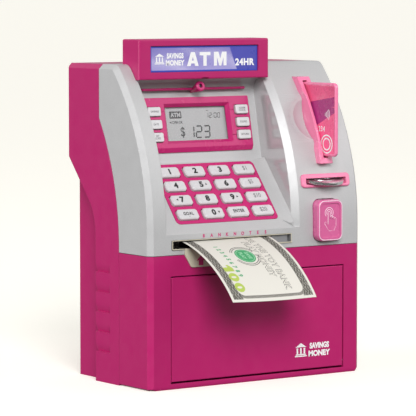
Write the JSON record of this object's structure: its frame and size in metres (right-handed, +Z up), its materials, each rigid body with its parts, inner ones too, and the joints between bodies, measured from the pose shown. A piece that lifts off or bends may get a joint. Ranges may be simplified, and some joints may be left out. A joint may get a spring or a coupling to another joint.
{
  "type": "toy cash machine savings bank",
  "caption": "Toy cash machine money box with keypad, screen, sign, card and coin slots, note feed and a cash door.",
  "frame": {"origin": "on the floor, under the body, 45 mm behind its front face and midway between its sides", "axes": "+X to the object's right side as seen from its front, -Y towards the front, +Z up"},
  "size_m": [0.162, 0.1416, 0.2126],
  "materials": {
    "magenta_shell": "smooth satin moulded plastic",
    "silver_shell": "silver-grey moulded plastic",
    "pink_trim": "glossy lighter pink-magenta moulding",
    "white_key": "white key with dark printed sign",
    "lcd_glass": "clear flat window",
    "lcd_grey": "grey liquid-crystal panel",
    "board_green": "solder-masked circuit board",
    "sign_print": "blue printed insert",
    "cream": "cream slot moulding",
    "paper": "printed paper play note",
    "coin_metal": "bright play coin",
    "steel": "plain steel",
    "black_plastic": "black moulded plastic",
    "grey_plastic": "grey moulded plastic",
    "white_plastic": "natural white gear plastic",
    "cell_wrap": "sleeved dry cell"
  },
  "bodies": {
    "body": {"base_plate": "magenta_shell", "battery_cells": "cell_wrap", "battery_contacts": "steel", "camera_bar": "pink_trim", "card_bezel": "pink_trim", "card_reader": "grey_plastic", "coin_bezel": "pink_trim", "coin_chute": "grey_plastic", "display_board": "board_green", "door_pins": "steel", "fascia": "silver_shell", "feed_motor": "steel", "feeder_frame": "grey_plastic", "front_panel": "magenta_shell", "housing_screws": "steel", "keypad_board": "board_green", "keypad_plate": "pink_trim", "lcd_lens": "lcd_glass", "lcd_panel": "lcd_grey", "lock_drive": "black_plastic", "note_guide": "cream", "rear_housing": "magenta_shell", "screen_bezel": "pink_trim", "sign_box": "silver_shell", "sign_insert": "sign_print", "speaker": "black_plastic"},
    "key_0": {"key_0": "white_key"},
    "key_1": {"key_1": "white_key"},
    "key_10_dollars": {"key_10_dollars": "white_key"},
    "key_1_dollar": {"key_1_dollar": "white_key"},
    "key_2": {"key_2": "white_key"},
    "key_20_dollars": {"key_20_dollars": "white_key"},
    "key_3": {"key_3": "white_key"},
    "key_4": {"key_4": "white_key"},
    "key_5": {"key_5": "white_key"},
    "key_5_dollars": {"key_5_dollars": "white_key"},
    "key_6": {"key_6": "white_key"},
    "key_7": {"key_7": "white_key"},
    "key_8": {"key_8": "white_key"},
    "key_9": {"key_9": "white_key"},
    "key_enter": {"key_enter": "white_key"},
    "key_goal": {"key_goal": "white_key"},
    "soft_key_left_1": {"soft_key_left_1": "white_key"},
    "soft_key_left_2": {"soft_key_left_2": "white_key"},
    "soft_key_left_3": {"soft_key_left_3": "white_key"},
    "soft_key_right_1": {"soft_key_right_1": "white_key"},
    "soft_key_right_2": {"soft_key_right_2": "white_key"},
    "soft_key_right_3": {"soft_key_right_3": "white_key"},
    "touch_button": {"touch_button": "pink_trim"},
    "door": {"door": "magenta_shell"},
    "lock_bolt": {"lock_bolt": "steel"},
    "card": {"card": "pink_trim"},
    "banknote": {"banknote": "paper"},
    "coin": {"coin": "coin_metal"},
    "coin_lever": {"coin_lever": "white_plastic"},
    "drive_roller": {"drive_roller": "white_plastic"},
    "pinch_roller": {"pinch_roller": "white_plastic"},
    "motor_pinion": {"motor_pinion": "white_plastic"},
    "battery_cover": {"battery_cover": "magenta_shell"},
    "power_switch": {"power_switch": "black_plastic"}
  },
  "joints": [
    {"name": "key_0_slide", "type": "slide", "parent": "body", "child": "key_0", "axis": [0, 0.7683, -0.6401], "range_m": [0, 0.001], "stiffness_N_per_m": 300},
    {"name": "key_1_slide", "type": "slide", "parent": "body", "child": "key_1", "axis": [0, 0.7683, -0.6401], "range_m": [0, 0.001], "stiffness_N_per_m": 300},
    {"name": "key_10_dollars_slide", "type": "slide", "parent": "body", "child": "key_10_dollars", "axis": [0, 0.7683, -0.6401], "range_m": [0, 0.001], "stiffness_N_per_m": 300},
    {"name": "key_1_dollar_slide", "type": "slide", "parent": "body", "child": "key_1_dollar", "axis": [0, 0.7683, -0.6401], "range_m": [0, 0.001], "stiffness_N_per_m": 300},
    {"name": "key_2_slide", "type": "slide", "parent": "body", "child": "key_2", "axis": [0, 0.7683, -0.6401], "range_m": [0, 0.001], "stiffness_N_per_m": 300},
    {"name": "key_20_dollars_slide", "type": "slide", "parent": "body", "child": "key_20_dollars", "axis": [0, 0.7683, -0.6401], "range_m": [0, 0.001], "stiffness_N_per_m": 300},
    {"name": "key_3_slide", "type": "slide", "parent": "body", "child": "key_3", "axis": [0, 0.7683, -0.6401], "range_m": [0, 0.001], "stiffness_N_per_m": 300},
    {"name": "key_4_slide", "type": "slide", "parent": "body", "child": "key_4", "axis": [0, 0.7683, -0.6401], "range_m": [0, 0.001], "stiffness_N_per_m": 300},
    {"name": "key_5_slide", "type": "slide", "parent": "body", "child": "key_5", "axis": [0, 0.7683, -0.6401], "range_m": [0, 0.001], "stiffness_N_per_m": 300},
    {"name": "key_5_dollars_slide", "type": "slide", "parent": "body", "child": "key_5_dollars", "axis": [0, 0.7683, -0.6401], "range_m": [0, 0.001], "stiffness_N_per_m": 300},
    {"name": "key_6_slide", "type": "slide", "parent": "body", "child": "key_6", "axis": [0, 0.7683, -0.6401], "range_m": [0, 0.001], "stiffness_N_per_m": 300},
    {"name": "key_7_slide", "type": "slide", "parent": "body", "child": "key_7", "axis": [0, 0.7683, -0.6401], "range_m": [0, 0.001], "stiffness_N_per_m": 300},
    {"name": "key_8_slide", "type": "slide", "parent": "body", "child": "key_8", "axis": [0, 0.7683, -0.6401], "range_m": [0, 0.001], "stiffness_N_per_m": 300},
    {"name": "key_9_slide", "type": "slide", "parent": "body", "child": "key_9", "axis": [0, 0.7683, -0.6401], "range_m": [0, 0.001], "stiffness_N_per_m": 300},
    {"name": "key_enter_slide", "type": "slide", "parent": "body", "child": "key_enter", "axis": [0, 0.7683, -0.6401], "range_m": [0, 0.001], "stiffness_N_per_m": 300},
    {"name": "key_goal_slide", "type": "slide", "parent": "body", "child": "key_goal", "axis": [0, 0.7683, -0.6401], "range_m": [0, 0.001], "stiffness_N_per_m": 300},
    {"name": "soft_key_left_1_slide", "type": "slide", "parent": "body", "child": "soft_key_left_1", "axis": [0, 0.9785, -0.2062], "range_m": [0, 0.0009], "stiffness_N_per_m": 300},
    {"name": "soft_key_left_2_slide", "type": "slide", "parent": "body", "child": "soft_key_left_2", "axis": [0, 0.9785, -0.2062], "range_m": [0, 0.0009], "stiffness_N_per_m": 300},
    {"name": "soft_key_left_3_slide", "type": "slide", "parent": "body", "child": "soft_key_left_3", "axis": [0, 0.9785, -0.2062], "range_m": [0, 0.0009], "stiffness_N_per_m": 300},
    {"name": "soft_key_right_1_slide", "type": "slide", "parent": "body", "child": "soft_key_right_1", "axis": [0, 0.9785, -0.2062], "range_m": [0, 0.0009], "stiffness_N_per_m": 300},
    {"name": "soft_key_right_2_slide", "type": "slide", "parent": "body", "child": "soft_key_right_2", "axis": [0, 0.9785, -0.2062], "range_m": [0, 0.0009], "stiffness_N_per_m": 300},
    {"name": "soft_key_right_3_slide", "type": "slide", "parent": "body", "child": "soft_key_right_3", "axis": [0, 0.9785, -0.2062], "range_m": [0, 0.0009], "stiffness_N_per_m": 300},
    {"name": "touch_button_slide", "type": "slide", "parent": "body", "child": "touch_button", "axis": [0, 1, 0], "range_m": [0, 0.001], "stiffness_N_per_m": 400},
    {"name": "door_turn", "type": "hinge", "parent": "body", "child": "door", "pos_m": [0, -0.043, 0.008], "axis": [1, 0, 0], "range_deg": [0, 90]},
    {"name": "lock_bolt_slide", "type": "slide", "parent": "body", "child": "lock_bolt", "axis": [-1, 0, 0], "range_m": [0, 0.005]},
    {"name": "card_slide", "type": "slide", "parent": "body", "child": "card", "axis": [0, -1, 0], "range_m": [0, 0.04]},
    {"name": "banknote_slide", "type": "slide", "parent": "body", "child": "banknote", "axis": [0, -0.9806, -0.1961], "range_m": [0, 0.03]},
    {"name": "coin_slide", "type": "slide", "parent": "body", "child": "coin", "axis": [0, -0.9781, -0.2079], "range_m": [0, 0.02]},
    {"name": "coin_lever_turn", "type": "hinge", "parent": "body", "child": "coin_lever", "pos_m": [0.054, -0.01, 0.129], "axis": [1, 0, 0], "range_deg": [0, 50], "stiffness_Nm_per_rad": 0.001},
    {"name": "drive_roller_turn", "type": "hinge", "parent": "body", "child": "drive_roller", "pos_m": [0, -0.027, 0.08866], "axis": [1, 0, 0], "continuous": true},
    {"name": "pinch_roller_turn", "type": "hinge", "parent": "body", "child": "pinch_roller", "pos_m": [0, -0.027, 0.09672], "axis": [1, 0, 0], "continuous": true},
    {"name": "motor_pinion_turn", "type": "hinge", "parent": "body", "child": "motor_pinion", "pos_m": [0, -0.0162, 0.08866], "axis": [1, 0, 0], "continuous": true},
    {"name": "battery_cover_slide", "type": "slide", "parent": "body", "child": "battery_cover", "axis": [0, 1, 0], "range_m": [0, 0.03]},
    {"name": "power_switch_slide", "type": "slide", "parent": "body", "child": "power_switch", "axis": [1, 0, 0], "range_m": [0, 0.005]}
  ],
  "couplings": [
    {"joint": "motor_pinion_turn", "follows": "drive_roller_turn", "ratio": -2},
    {"joint": "pinch_roller_turn", "follows": "drive_roller_turn", "ratio": -1.3333}
  ]
}
